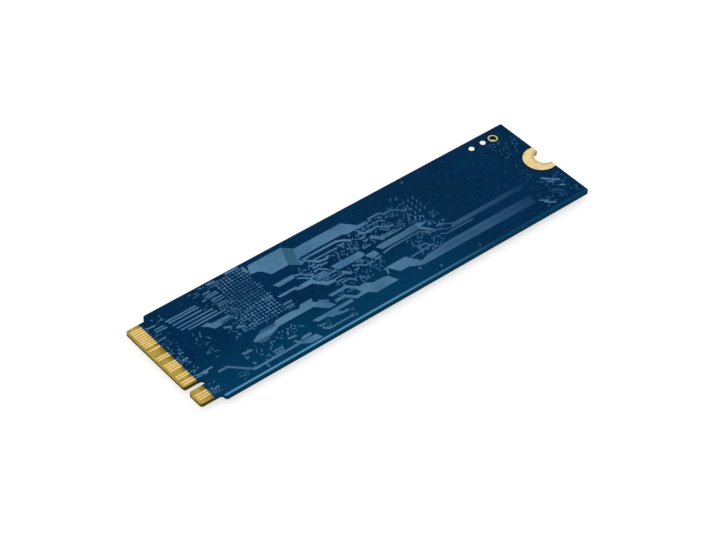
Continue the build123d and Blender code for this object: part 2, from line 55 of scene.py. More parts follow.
# Camera, as the photograph's
VIEW_AZIMUTH = math.radians(-40.243)
VIEW_ELEVATION = math.radians(43.5)
VIEW_ROLL = math.radians(1.16)
VIEW_TARGET = Vector((-2.503, -1.34, 2.0)) * MM
VIEW_DISTANCE = 356.75 * MM
LENS = 111.79
SENSOR_WIDTH = 36.0

# Heights and lengths taken from the frame, in metres
BOARD_LOW, BOARD_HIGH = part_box("printed_board")
MASK_LOW, MASK_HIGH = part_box("back_solder_mask")
TIP_X = BOARD_LOW.x
MASK_START_X = MASK_LOW.x
BACK_FACE_Z = MASK_HIGH.z
TRACK_TOP_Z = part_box("back_tracks")[1].z
CHIP_FACE_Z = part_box("front_solder_mask")[0].z
NOTCH_SPOT = (BOARD_HIGH.x, 0.0)

# Material slot of each node
SLOTS = {subpart["node"]: subpart["material_slot"] for subpart in frame["record"]["subparts"]}

# Bare pads of the bare side, as a middle and a radius in metres: the screw pad, the plated hole's ring and
# the two test pads
PAD_LOW, PAD_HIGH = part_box("notch_plating")
RING_LOW, RING_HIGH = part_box("plated_hole_lining")
TEST_LOW, TEST_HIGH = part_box("test_pads")
PAD_RADIUS = (PAD_HIGH.y - PAD_LOW.y) / 2
RING_RADIUS = (RING_HIGH.y - RING_LOW.y) / 2
TEST_RADIUS = (TEST_HIGH.y - TEST_LOW.y) / 2
RING_SPOT = ((RING_LOW.x + RING_HIGH.x) / 2, (RING_LOW.y + RING_HIGH.y) / 2)
BARE_PADS = [
    ((PAD_LOW.x + PAD_RADIUS, 0.0), PAD_RADIUS),
    (RING_SPOT, RING_RADIUS),
    ((TEST_LOW.x + TEST_RADIUS, TEST_LOW.y + TEST_RADIUS), TEST_RADIUS),
    ((TEST_HIGH.x - TEST_RADIUS, TEST_LOW.y + TEST_RADIUS), TEST_RADIUS),
]

# Zones where the copper is drawn towards its dark tone: the lowest and the highest corner as board places,
# and how much of the tone goes
DIM_ZONES = [
    ((6.0, -9.3), (10.7, -5.7), 0.3),
    ((9.0, -0.9), (14.2, 3.2), 0.08),
    ((14.4, 2.6), (17.4, 6.8), 0.3),
    ((17.4, 2.8), (22.6, 7.2), 0.42),
    ((18.5, -7.7), (20.6, -5.7), 0.3),
    ((22.7, -1.36), (24.9, -1.04), 0.85),
    ((22.7, -2.3), (24.9, -1.9), 0.7),
    ((44.8, -10.4), (57.4, -7.75), 0.4),
]

# Zones where it is drawn towards its bright tone
LIT_ZONES = [
    ((19.8, -0.8), (24.6, 2.6), 0.45),
    ((51.6, -2.2), (57.0, 1.6), 0.45),
]

# How far the edges of a painted disc and of a zone are blurred
SOFT_EDGE = 0.03
ZONE_EDGE = 0.08

# Octaves of every noise
NOISE_DETAIL = 3.0

# First-pin dots on the large cases
DOT_RADIUS = 0.45
DOT_INSET = 1.2
DOTTED_CASES = ("controller_case", "flash_1_case", "flash_2_case")


def rgb(red, green, blue):
    """Linear colour of a screen colour that is given in steps of 255."""
    steps = (red / 255, green / 255, blue / 255)
    linear = [s / 12.92 if s <= 0.04045 else ((s + 0.055) / 1.055) ** 2.4 for s in steps]
    return (*linear, 1.0)


# Node helpers: each returns an output socket


def node(tree, kind, **settings):
    """A new node with its settings."""
    made = tree.nodes.new(kind)
    for name, value in settings.items():
        setattr(made, name, value)
    return made


def place(tree):
    """Place on the object, in metres in the shared frame."""
    return node(tree, "ShaderNodeTexCoord").outputs["Object"]


def axis(tree, name):
    """One coordinate of the place on the object."""
    split = node(tree, "ShaderNodeSeparateXYZ")
    tree.links.new(place(tree), split.inputs[0])
    return split.outputs[name]


def facing(tree, name):
    """One coordinate of the surface's own direction."""
    split = node(tree, "ShaderNodeSeparateXYZ")
    tree.links.new(node(tree, "ShaderNodeNewGeometry").outputs["Normal"], split.inputs[0])
    return split.outputs[name]


def walls(tree):
    """1 on upright walls, 0 on faces that look up or down."""
    size = node(tree, "ShaderNodeMath", operation="ABSOLUTE")
    tree.links.new(facing(tree, "Z"), size.inputs[0])
    return remap(tree, size.outputs[0], 0.3, 0.6, 1.0, 0.0)


def noise(tree, grain, stretch=(1, 1, 1)):
    """Noise with grains of about that many millimetres."""
    mapping = node(tree, "ShaderNodeMapping")
    mapping.inputs["Scale"].default_value = stretch
    texture = node(tree, "ShaderNodeTexNoise")
    texture.inputs["Scale"].default_value = 1 / (grain * MM)
    texture.inputs["Detail"].default_value = NOISE_DETAIL
    tree.links.new(place(tree), mapping.inputs["Vector"])
    tree.links.new(mapping.outputs["Vector"], texture.inputs["Vector"])
    return texture.outputs["Fac"]


def stripes(tree, pitch, angle):
    """Parallel lines, that many millimetres apart, turned about the board's normal."""
    mapping = node(tree, "ShaderNodeMapping")
    mapping.inputs["Rotation"].default_value = (0, 0, angle)
    wave = node(tree, "ShaderNodeTexWave", wave_type="BANDS", bands_direction="X")
    wave.inputs["Scale"].default_value = math.pi / 10 / (pitch * MM)
    wave.inputs["Distortion"].default_value = 0.4
    tree.links.new(place(tree), mapping.inputs["Vector"])
    tree.links.new(mapping.outputs["Vector"], wave.inputs["Vector"])
    return wave.outputs["Fac"]


def remap(tree, value, low, high, to_low=0.0, to_high=1.0):
    """A value taken from one range to another, and held there."""
    ranged = node(tree, "ShaderNodeMapRange")
    ranged.inputs["From Min"].default_value = low
    ranged.inputs["From Max"].default_value = high
    ranged.inputs["To Min"].default_value = to_low
    ranged.inputs["To Max"].default_value = to_high
    tree.links.new(value, ranged.inputs["Value"])
    return ranged.outputs["Result"]


def product(tree, *values):
    """Values multiplied."""
    total = values[0]
    for value in values[1:]:
        times = node(tree, "ShaderNodeMath", operation="MULTIPLY")
        tree.links.new(total, times.inputs[0])
        tree.links.new(value, times.inputs[1])
        total = times.outputs[0]
    return total


def along(tree, direction):
    """Distance along a direction on the object, in metres."""
    dot = node(tree, "ShaderNodeVectorMath", operation="DOT_PRODUCT")
    dot.inputs[1].default_value = direction
    tree.links.new(place(tree), dot.inputs[0])
    return dot.outputs["Value"]


def between(tree, value, low, high, soft):
    """1 where a length lies between two others, falling to 0 over a soft edge. All in metres."""
    rising = remap(tree, value, low - soft, low)
    falling = remap(tree, value, high, high + soft, 1.0, 0.0)
    return product(tree, rising, falling)


def ramp(tree, name, span, to_low=0.0, to_high=1.0):
    """A value that follows one coordinate over a span, and is held beyond its ends."""
    return remap(tree, axis(tree, name), span[0] * MM, span[1] * MM, to_low, to_high)


def strip(tree, name, span, soft):
    """1 where one coordinate lies in a span, falling to 0 over a soft edge."""
    return between(tree, axis(tree, name), span[0] * MM, span[1] * MM, soft * MM)


def zone(tree, low, high):
    """1 in a rectangle of the board, given by two of its corners as board places."""
    lengthwise = between(tree, axis(tree, "X"), TIP_X + low[0] * MM, TIP_X + high[0] * MM, ZONE_EDGE * MM)
    return product(tree, lengthwise, strip(tree, "Y", (low[1], high[1]), ZONE_EDGE))


def disc(tree, spot, radius):
    """1 inside an upright cylinder through a spot on the board, in metres."""
    flat = node(tree, "ShaderNodeVectorMath", operation="MULTIPLY")
    flat.inputs[1].default_value = (1, 1, 0)
    tree.links.new(place(tree), flat.inputs[0])
    apart = node(tree, "ShaderNodeVectorMath", operation="DISTANCE")
    apart.inputs[1].default_value = (spot[0], spot[1], 0)
    tree.links.new(flat.outputs["Vector"], apart.inputs[0])
    return remap(tree, apart.outputs["Value"], radius - SOFT_EDGE * MM, radius, 1.0, 0.0)


def blend(tree, factor, first, second):
    """Two colours mixed. Each is a colour or a socket."""
    mix = node(tree, "ShaderNodeMix", data_type="RGBA")
    tree.links.new(factor, mix.inputs["Factor"])
    for socket, colour in ((mix.inputs[6], first), (mix.inputs[7], second)):
        if isinstance(colour, tuple):
            socket.default_value = colour
        else:
            tree.links.new(colour, socket)
    return mix.outputs[2]


def patchy(tree, pattern, first, second):
    """Two colours in soft patches of a noise."""
    return blend(tree, remap(tree, pattern, 0.35, 0.65), first, second)


def toned(tree, colour, zones, tone):
    """A colour drawn towards a tone in some zones, by the share of each."""
    for low, high, share in zones:
        inside = remap(tree, zone(tree, low, high), 0.0, 1.0, 0.0, share)
        colour = blend(tree, inside, colour, tone)
    return colour


def surface(name, roughness, metallic=0.0, specular=0.5):
    """A new material: its node tree and its shader."""
    material = bpy.data.materials.new(name)
    material.use_nodes = True
    shader = material.node_tree.nodes["Principled BSDF"]
    shader.inputs["Metallic"].default_value = metallic
    shader.inputs["Roughness"].default_value = roughness
    shader.inputs["Specular IOR Level"].default_value = specular
    return material, material.node_tree, shader


def paint(tree, shader, colour):
    """The shader's colour comes from a socket."""
    tree.links.new(colour, shader.inputs["Base Color"])


def rough(tree, shader, value, low, high):
    """The shader's roughness follows a value between two limits."""
    tree.links.new(remap(tree, value, 0.3, 0.7, low, high), shader.inputs["Roughness"])


def raise_by(tree, shader, height, depth):
    """A bump that many millimetres deep."""
    bump = node(tree, "ShaderNodeBump")
    bump.inputs["Distance"].default_value = depth * MM
    tree.links.new(height, bump.inputs["Height"])
    tree.links.new(bump.outputs["Normal"], shader.inputs["Normal"])


# Materials


# The mask of the bare side: painted light on its near half towards the contacts, a painted highlight fading
# along its near edge, and painted shade in a dark rim round the bare pads. Spans along the board count from
# its middle.
NEAR_HALF_X = (2.0, 18.0)
NEAR_HALF_Y = (-9.0, -1.0)
EDGE_HIGHLIGHT_X = (-4.0, 20.0)
EDGE_HIGHLIGHT_Y = (-10.88, -10.48)
EDGE_HIGHLIGHT_SOFT = 0.05
PAD_SHADE_RIM = 0.3


def solder_mask_material():
    """Dark blue coat: satin, a little cloudy, with a faint peel."""
    material, tree, shader = surface("solder_mask", 0.45, specular=0.01)
    cloud = patchy(tree, noise(tree, 9.0), rgb(0, 39, 71), rgb(0, 45, 80))
    speck = blend(tree, remap(tree, noise(tree, 0.7), 0.58, 0.78), cloud, rgb(12, 64, 100))
    # Painted light on the near half of the bare side, towards the contacts
    bare_side = remap(tree, axis(tree, "Z"), BOARD_LOW.z, BOARD_HIGH.z)
    towards_edge = ramp(tree, "Y", NEAR_HALF_Y, 1.0, 0.0)
    towards_contacts = ramp(tree, "X", NEAR_HALF_X, 1.0, 0.0)
    near_half = product(tree, bare_side, towards_edge, towards_contacts)
    lit_half = blend(tree, near_half, speck, rgb(0, 57, 90))
    # Painted highlight along the near edge, fading along the board
    edge_highlight = blend(tree, ramp(tree, "X", EDGE_HIGHLIGHT_X), rgb(82, 142, 180), rgb(8, 66, 102))
    edge_highlight_strip = strip(tree, "Y", EDGE_HIGHLIGHT_Y, EDGE_HIGHLIGHT_SOFT)
    coat = blend(tree, product(tree, bare_side, edge_highlight_strip), lit_half, edge_highlight)
    # Painted shade: a dark rim round each bare pad, where the mask steps down
    for spot, radius in BARE_PADS:
        outline = disc(tree, spot, radius + PAD_SHADE_RIM * MM)
        coat = blend(tree, product(tree, bare_side, outline), coat, rgb(1, 20, 34))
    paint(tree, shader, coat)
    rough(tree, shader, noise(tree, 3.0), 0.38, 0.52)
    raise_by(tree, shader, noise(tree, 0.35), 0.004)
    return material


# Marks on the coated copper. It has a fine hatch, and a darker window crosses the upper pour at a slant.
HATCH_PITCH = 0.34
WINDOW_DIRECTION = (1, -0.41, 0)
WINDOW_SPAN = (-13.15, -11.35)
WINDOW_SOFT = 0.15
UPPER_POUR_Y = (4.4, 4.5)
# The foot of the controller's supply is darker in rows, up to a slanted end and apart from its arm
FOOT_X = (-26.4, -26.2)
FOOT_Y = (-5.9, -2.8)
FOOT_SOFT = 0.1
FOOT_DIRECTION = (0.788, -0.616, 0)
FOOT_END = (-14.3, -14.15)
FOOT_ROW_PITCH = 0.42
ARM_Y = (-4.6, -3.75)
ARM_SOFT = 0.08
# Two seams part the far bands
SEAMS_Y = [(-6.8, -6.7), (-3.45, -3.35)]
SEAM_SOFT = 0.1
SEAM_X = (11.0, 13.0)
SEAM_SHARE = 0.5
# Painted shade: the copper darkens behind the middle and more towards the screw end; only the last strokes
# stay lit
MIDDLE_SHADE_X = (2.0, 12.0)
FAR_SHADE_X = (18.5, 31.0)
FAR_SHADE_SHARE = 0.93
LAST_STROKES_X = (34.2, 34.6)
CORNER_X = (31.3, 31.7)
CORNER_Y = (-7.9, -7.6)
# A painted highlight runs along the near edge and fades along the board, and its outside is darker
EDGE_COPPER_Y = (-10.55, -10.5)
EDGE_OUTSIDE_Y = (-10.88, -10.83)


def supply_foot(tree):
    """How much darker the foot of the controller's supply is."""
    up_to_end = remap(tree, along(tree, FOOT_DIRECTION), FOOT_END[0] * MM, FOOT_END[1] * MM, 1.0, 0.0)
    foot = product(tree, ramp(tree, "X", FOOT_X), up_to_end, strip(tree, "Y", FOOT_Y, FOOT_SOFT))
    off_arm = remap(tree, strip(tree, "Y", ARM_Y, ARM_SOFT), 0.0, 1.0, 1.0, 0.0)
    rows = remap(tree, stripes(tree, FOOT_ROW_PITCH, math.radians(90)), 0.2, 0.8, 0.9, 0.3)
    return product(tree, foot, off_arm, rows)


def coated_copper_material(name, dull, bright, end_tone, grain=4.0, middle_shade=0.55):
    """Copper under the blue coat: paler in patches, with painted shade along the board and a painted edge
    highlight.
    """
    material, tree, shader = surface(name, 0.42, specular=0.03)
    # Dark tone of the darker zones, seams and foot, and of the painted shade
    dark_and_shade_tone = rgb(4, 53, 90)
    near = patchy(tree, noise(tree, grain), dull, bright)
    hatch = remap(tree, stripes(tree, HATCH_PITCH, math.radians(45)), 0.0, 0.35, 0.35, 0.0)
    lined = blend(tree, hatch, near, rgb(40, 86, 122))
    slanted = along(tree, WINDOW_DIRECTION)
    window = between(tree, slanted, WINDOW_SPAN[0] * MM, WINDOW_SPAN[1] * MM, WINDOW_SOFT * MM)
    windowed = blend(tree, product(tree, window, ramp(tree, "Y", UPPER_POUR_Y)), lined, rgb(48, 95, 121))
    # Painted shade behind the middle
    middle_shaded = blend(tree, ramp(tree, "X", MIDDLE_SHADE_X, 0.0, middle_shade), windowed, dark_and_shade_tone)
    footed = blend(tree, supply_foot(tree), middle_shaded, dark_and_shade_tone)
    tone = toned(tree, footed, DIM_ZONES, dark_and_shade_tone)
    tone = toned(tree, tone, LIT_ZONES, bright)
    for seam in SEAMS_Y:
        parting = product(tree, strip(tree, "Y", seam, SEAM_SOFT), ramp(tree, "X", SEAM_X, 0.0, SEAM_SHARE))
        tone = blend(tree, parting, tone, dark_and_shade_tone)
    # More painted shade towards the screw end, which the last strokes and a corner escape
    far_shaded = blend(tree, ramp(tree, "X", FAR_SHADE_X, 0.0, FAR_SHADE_SHARE), tone, dark_and_shade_tone)
    at_end = blend(tree, ramp(tree, "X", LAST_STROKES_X), far_shaded, end_tone)
    corner = product(tree, ramp(tree, "X", CORNER_X), ramp(tree, "Y", CORNER_Y, 1.0, 0.0))
    lit = blend(tree, corner, at_end, end_tone)
    # Painted highlight along the near edge, with a darker outside
    edge_highlight = blend(tree, ramp(tree, "X", EDGE_HIGHLIGHT_X), rgb(86, 146, 184), rgb(8, 58, 94))
    edge_highlighted = blend(tree, ramp(tree, "Y", EDGE_OUTSIDE_Y, 1.0, 0.0), edge_highlight, rgb(8, 64, 94))
    paint(tree, shader, blend(tree, ramp(tree, "Y", EDGE_COPPER_Y, 1.0, 0.0), lit, edge_highlighted))
    rough(tree, shader, noise(tree, 1.2), 0.36, 0.5)
    raise_by(tree, shader, noise(tree, 0.2), 0.004)
    return material


# The gold is redder at the contacts than at the screw pad, and rubbed along the board. The pad is duller at
# the lip of the notch. The plated hole's ring is greyer. Painted shade darkens walls, most within a share of
# the ring.
GOLD_CHANGE_X = (-10.0, 10.0)
RUBBING = (0.1, 1, 1)
LIP_RADIUS = 2.25
RING_SHARE = 1.1
HOLE_SHARE = 0.8


def gold_material():
    """Gold plate, semi-bright, with slightly redder patches and fine rubbing marks. Its walls have painted
    shade.
    """
    material, tree, shader = surface("gold", 0.36, metallic=1.0)
    contact_tone = patchy(tree, noise(tree, 1.1), rgb(200, 169, 102), rgb(212, 183, 119))
    pad_tone = patchy(tree, noise(tree, 0.8), rgb(193, 173, 119), rgb(205, 187, 137))
    tone = blend(tree, ramp(tree, "X", GOLD_CHANGE_X), contact_tone, pad_tone)
    rubbed = remap(tree, noise(tree, 0.12, stretch=RUBBING), 0.55, 0.75)
    worn = blend(tree, rubbed, tone, rgb(176, 142, 80))
    lipped = blend(tree, disc(tree, NOTCH_SPOT, LIP_RADIUS * MM), worn, rgb(178, 160, 108))
    ringed = blend(tree, disc(tree, RING_SPOT, RING_SHARE * RING_RADIUS), lipped, rgb(156, 154, 112))
    # Painted shade on the walls, darkest on the wall of the plated hole
    walls_shaded = blend(tree, walls(tree), ringed, rgb(128, 106, 60))
    inside = product(tree, disc(tree, RING_SPOT, HOLE_SHARE * RING_RADIUS), walls(tree))
    paint(tree, shader, blend(tree, inside, walls_shaded, rgb(40, 32, 16)))
    rough(tree, shader, noise(tree, 0.3), 0.3, 0.42)
    raise_by(tree, shader, noise(tree, 0.1, stretch=RUBBING), 0.002)
    return material


# The tongue is painted browner as shade from a distance behind the contact edge up to the mask, and its walls
# darker as shade. The coat of the card's sides starts just before the mask, where a painted shade line shows.
WEAVE_PITCH = 0.45
MASK_SHADE_START = 1.6
MASK_SHADE_SHARE = 0.75
COAT_LEAD = (0.06, 0.02)


def laminate_material():
    """Glass-epoxy: olive gold and woven at the tongue, coated blue along the sides of the card, with painted
    shade.
    """
    material, tree, shader = surface("laminate", 0.5, specular=0.01)
    resin = patchy(tree, noise(tree, 0.8), rgb(158, 137, 54), rgb(184, 161, 74))
    weave = product(tree, stripes(tree, WEAVE_PITCH, 0.0), stripes(tree, WEAVE_PITCH, math.radians(90)))
    cloth = blend(tree, remap(tree, weave, 0.3, 0.9, 0.0, 0.3), resin, rgb(196, 174, 96))
    # Painted shade: browner and darker towards the mask
    by_mask = remap(tree, axis(tree, "X"), TIP_X + MASK_SHADE_START * MM, MASK_START_X, 0.0, MASK_SHADE_SHARE)
    mask_shaded = blend(tree, by_mask, cloth, rgb(104, 74, 24))
    # Painted shade on the tongue's walls
    tongue = blend(tree, walls(tree), mask_shaded, rgb(84, 74, 26))
    up_side = remap(tree, axis(tree, "Z"), BOARD_LOW.z, BOARD_HIGH.z)
    # Painted shade low on the card's sides, and painted light near their top
    coat_shaded_low = blend(tree, remap(tree, up_side, 0.0, 0.5), rgb(0, 34, 46), rgb(0, 62, 88))
    coat = blend(tree, remap(tree, up_side, 0.6, 1.0), coat_shaded_low, rgb(4, 88, 122))
    shade = blend(tree, remap(tree, noise(tree, 1.5), 0.35, 0.7, 0.0, 0.5), coat, rgb(0, 58, 84))
    # Painted shade line: the card's flat faces are very dark where they show just before the mask
    card = blend(tree, walls(tree), rgb(3, 22, 34), shade)
    coat_start = MASK_START_X - COAT_LEAD[0] * MM
    coat_full = MASK_START_X - COAT_LEAD[1] * MM
    behind = remap(tree, axis(tree, "X"), coat_start, coat_full)
    paint(tree, shader, blend(tree, behind, tongue, card))
    rough(tree, shader, noise(tree, 0.5), 0.42, 0.58)
    raise_by(tree, shader, weave, 0.006)
    return material


def tin_material():
    """Tinned pads: nearly white."""
    material, tree, shader = surface("tin", 0.3, specular=0.5)
    paint(tree, shader, blend(tree, noise(tree, 0.5), rgb(240, 250, 252), rgb(252, 255, 255)))
    rough(tree, shader, noise(tree, 0.3), 0.26, 0.4)
    raise_by(tree, shader, noise(tree, 0.4), 0.006)
    return material


def moulding_material(name, case=None):
    """Black moulding compound, matt, with fine filler grains. A large case has a dot at its first pin."""
    material, tree, shader = surface(name, 0.62, specular=0.3)
    body = patchy(tree, noise(tree, 2.5), rgb(24, 24, 26), rgb(34, 34, 37))
    grains = blend(tree, remap(tree, noise(tree, 0.08), 0.62, 0.75), body, rgb(66, 66, 70))
    if case:
        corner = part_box(case)[0]
        dot = disc(tree, (corner.x + DOT_INSET * MM, corner.y + DOT_INSET * MM), DOT_RADIUS * MM)
        underneath = remap(tree, facing(tree, "Z"), -0.99, -0.9, 1.0, 0.0)
        grains = blend(tree, product(tree, dot, underneath), grains, rgb(92, 92, 94))
    paint(tree, shader, grains)
    rough(tree, shader, noise(tree, 0.5), 0.55, 0.7)
    raise_by(tree, shader, noise(tree, 0.1), 0.006)
    return material


def substrate_material():
    """Dark green package substrate, with faint paler bands."""
    material, tree, shader = surface("substrate", 0.5, specular=0.3)
    layers = stripes(tree, 0.3, 0.0)
    green = patchy(tree, noise(tree, 0.6), rgb(26, 52, 34), rgb(40, 70, 46))
    paint(tree, shader, blend(tree, remap(tree, layers, 0.7, 1.0, 0.0, 0.2), green, rgb(120, 104, 58)))
    rough(tree, shader, noise(tree, 0.4), 0.45, 0.6)
    raise_by(tree, shader, noise(tree, 0.15), 0.004)
    return material


def solder_material():
    """Tin solder: grey metal with a frosted grain."""
    material, tree, shader = surface("solder", 0.32, metallic=1.0)
    paint(tree, shader, blend(tree, noise(tree, 0.25), rgb(184, 185, 188), rgb(214, 214, 214)))
    rough(tree, shader, noise(tree, 0.15), 0.26, 0.44)
    raise_by(tree, shader, noise(tree, 0.12), 0.006)
    return material


def ferrite_material():
    """Pressed ferrite: dark grey and grainy."""
    material, tree, shader = surface("ferrite", 0.6, specular=0.35)
    body = patchy(tree, noise(tree, 0.9), rgb(56, 56, 59), rgb(74, 74, 78))
    paint(tree, shader, blend(tree, remap(tree, noise(tree, 0.07), 0.6, 0.75), body, rgb(118, 118, 124)))
    rough(tree, shader, noise(tree, 0.2), 0.5, 0.7)
    raise_by(tree, shader, noise(tree, 0.08), 0.01)
    return material


def capacitor_material():
    """Fired ceramic: tan, with fine darker grains."""
    material, tree, shader = surface("capacitor_ceramic", 0.55, specular=0.35)
    clay = patchy(tree, noise(tree, 0.5), rgb(150, 116, 84), rgb(176, 140, 104))
    paint(tree, shader, blend(tree, remap(tree, noise(tree, 0.06), 0.6, 0.75), clay, rgb(120, 90, 64)))
    rough(tree, shader, noise(tree, 0.2), 0.48, 0.62)
    raise_by(tree, shader, noise(tree, 0.1), 0.005)
    return material


def crystal_ceramic_material():
    """Dark ceramic base of the crystal."""
    material, tree, shader = surface("crystal_ceramic", 0.55, specular=0.35)
    paint(tree, shader, patchy(tree, noise(tree, 0.3), rgb(46, 42, 40), rgb(66, 60, 56)))
    rough(tree, shader, noise(tree, 0.2), 0.48, 0.62)
    raise_by(tree, shader, noise(tree, 0.1), 0.005)
    return material


def lid_metal_material():
    """Plated lid: satin metal, brushed along the board."""
    material, tree, shader = surface("lid_metal", 0.34, metallic=1.0)
    brushed = noise(tree, 0.08, stretch=(0.06, 1, 1))
    paint(tree, shader, patchy(tree, brushed, rgb(186, 180, 164), rgb(214, 208, 194)))
    rough(tree, shader, brushed, 0.26, 0.42)
    raise_by(tree, shader, brushed, 0.002)
    return material


def resistor_material():
    """Black glaze on the resistors."""
    material, tree, shader = surface("resistor_glaze", 0.28, specular=0.5)
    paint(tree, shader, patchy(tree, noise(tree, 0.3), rgb(16, 16, 18), rgb(30, 30, 34)))
    rough(tree, shader, noise(tree, 0.2), 0.2, 0.38)
    raise_by(tree, shader, noise(tree, 0.25), 0.006)
    return material


MATERIALS = {
    "laminate": laminate_material(),
    "solder_mask": solder_mask_material(),
    "coated_copper": coated_copper_material(
        "coated_copper", rgb(64, 110, 144), rgb(84, 129, 162), rgb(72, 116, 154)
    ),
    "gold": gold_material(),
    "tin": tin_material(),
    "moulding": moulding_material("moulding"),
    "substrate": substrate_material(),
    "solder": solder_material(),
    "ferrite": ferrite_material(),
    "capacitor_ceramic": capacitor_material(),
    "crystal_ceramic": crystal_ceramic_material(),
    "lid_metal": lid_metal_material(),
    "resistor_glaze": resistor_material(),
}
FINE_COPPER = coated_copper_material(
    "fine_copper", rgb(44, 94, 132), rgb(75, 126, 166), rgb(36, 88, 128), middle_shade=0.3
)
VIA_COPPER = coated_copper_material(
    "via_copper", rgb(34, 88, 126), rgb(96, 146, 186), rgb(36, 88, 128), grain=0.9
)


def dress_frame():
    """Every node of the frame gets the material of its slot."""
    for node_name, slot in SLOTS.items():
        shown = frame["nodes"][node_name]
        shown.data.materials.clear()
        shown.data.materials.append(MATERIALS[slot])
    for case in DOTTED_CASES:
        frame["nodes"][case].data.materials[0] = moulding_material(f"moulding_{case}", case)


dress_frame()


# Mesh helpers. The sides of tracks and dots slant. Points of a solid that lie closer than the weld are one.
# Solids are put in order by their places in metres, to so many digits.
SIDE_SLANT = 0.03
WELD = 0.001
PLACE_DIGITS = 6
SHARP_ANGLE = math.radians(40)


def on_board(spot):
    """Place in the frame, in metres, of a board place."""
    return Vector((TIP_X + spot[0] * MM, spot[1] * MM))


def spot_of(point):
    """Board place of a point in the frame."""
    return ((point.x - TIP_X) / MM, point.y / MM)


def circle(sides):
    """Directions to the corners of a regular outline."""
    turns = [2 * math.pi * side / sides for side in range(sides)]
    return [Vector((math.cos(turn), math.sin(turn))) for turn in turns]


def add_ring_of_faces(form, lower, upper):
    """Joins two like loops of vertices by a ring of faces."""
    for index in range(len(lower)):
        following = (index + 1) % len(lower)
        form.faces.new((lower[index], lower[following], upper[following], upper[index]))


def add_slab(form, outline, base_z, top_z, inset):
    """A low slab on a convex outline, its top drawn in so that the sides slant."""
    middle = sum(outline, Vector((0, 0))) / len(outline)
    lower = [form.verts.new((point.x, point.y, base_z)) for point in outline]
    upper = []
    for point in outline:
        inward = (middle - point).normalized() * inset
        upper.append(form.verts.new((point.x + inward.x, point.y + inward.y, top_z)))
    add_ring_of_faces(form, lower, upper)
    form.faces.new(upper)
    form.faces.new(lower[::-1])


def add_dash(form, spot, length, width, angle, base_z, top_z):
    """A short bar with rounded ends, at an angle to the board's length."""
    corner_steps = 3
    outline = []
    for end in (0, 1):
        for step in range(corner_steps + 1):
            turn = math.pi * (end + step / corner_steps - 0.5)
            reach = (length - width) / 2 * (1 if end == 0 else -1)
            outline.append(Vector((reach + width / 2 * math.cos(turn), width / 2 * math.sin(turn))) * MM)
    turned = Matrix.Rotation(angle, 2)
    add_slab(form, [on_board(spot) + turned @ point for point in outline], base_z, top_z, SIDE_SLANT * MM)


def add_dot(form, spot, radius, base_z, top_z):
    """A round pad."""
    sides = 10
    outline = [on_board(spot) + direction * radius * MM for direction in circle(sides)]
    add_slab(form, outline, base_z, top_z, SIDE_SLANT * MM)


def shifted(points, reach):
    """A path moved sideways by a reach, with mitred corners."""
    normals = []
    for first, second in zip(points, points[1:]):
        run = (second - first).normalized()
        normals.append(Vector((-run.y, run.x)))
    moved = [points[0] + normals[0] * reach]
    for point, before, after in zip(points[1:], normals, normals[1:]):
        moved.append(point + (before + after) * reach / (1 + before.dot(after)))
    moved.append(points[-1] + normals[-1] * reach)
    return moved


def add_track(form, path, width, base_z, top_z):
    """A track along a path on the board, with slanted sides."""
    points = [on_board(spot) for spot in path]
    half = width / 2 * MM
    slant = min(SIDE_SLANT * MM, half / 3)
    rails = []
    for reach, height in ((half, base_z), (half - slant, top_z), (slant - half, top_z), (-half, base_z)):
        rails.append([form.verts.new((point.x, point.y, height)) for point in shifted(points, reach)])
    for first, second in zip(rails, rails[1:] + rails[:1]):
        for index in range(len(points) - 1):
            form.faces.new((first[index], first[index + 1], second[index + 1], second[index]))
    form.faces.new([rail[0] for rail in rails])
    form.faces.new([rail[-1] for rail in rails][::-1])


def islands(node_name):
    """Lowest corner, highest corner and middle of every separate solid in a CAD node, in order of place."""
    form = bmesh.new()
    form.from_mesh(frame["nodes"][node_name].data)
    bmesh.ops.remove_doubles(form, verts=form.verts, dist=WELD * MM)
    form.verts.index_update()
    reached = set()
    found = []
    for start in form.verts:
        if start.index in reached:
            continue
        reached.add(start.index)
        island = [start]
        for vertex in island:
            for edge in vertex.link_edges:
                other = edge.other_vert(vertex)
                if other.index not in reached:
                    reached.add(other.index)
                    island.append(other)
        low = Vector([min(vertex.co[i] for vertex in island) for i in range(3)])
        high = Vector([max(vertex.co[i] for vertex in island) for i in range(3)])
        middle = sum((vertex.co for vertex in island), Vector()) / len(island)
        found.append((low, high, middle))
    form.free()
    return sorted(found, key=lambda solid: (round(solid[2].x, PLACE_DIGITS), round(solid[2].y, PLACE_DIGITS)))


def add_piece(name, form, slot, replaced=None, material=None):
    """Turns a built form into a piece of the drive, with the material of its slot unless another is given."""
    bmesh.ops.recalc_face_normals(form, faces=form.faces)
    mesh = bpy.data.meshes.new(name)
    form.to_mesh(mesh)
    form.free()
    mesh.shade_smooth()
    mesh.set_sharp_from_angle(angle=SHARP_ANGLE)
    mesh.materials.append(material or MATERIALS[slot])
    piece = bpy.data.objects.new(name, mesh)
    bpy.context.scene.collection.objects.link(piece)
    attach(piece, "root")
    if replaced:
        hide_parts(replaced)


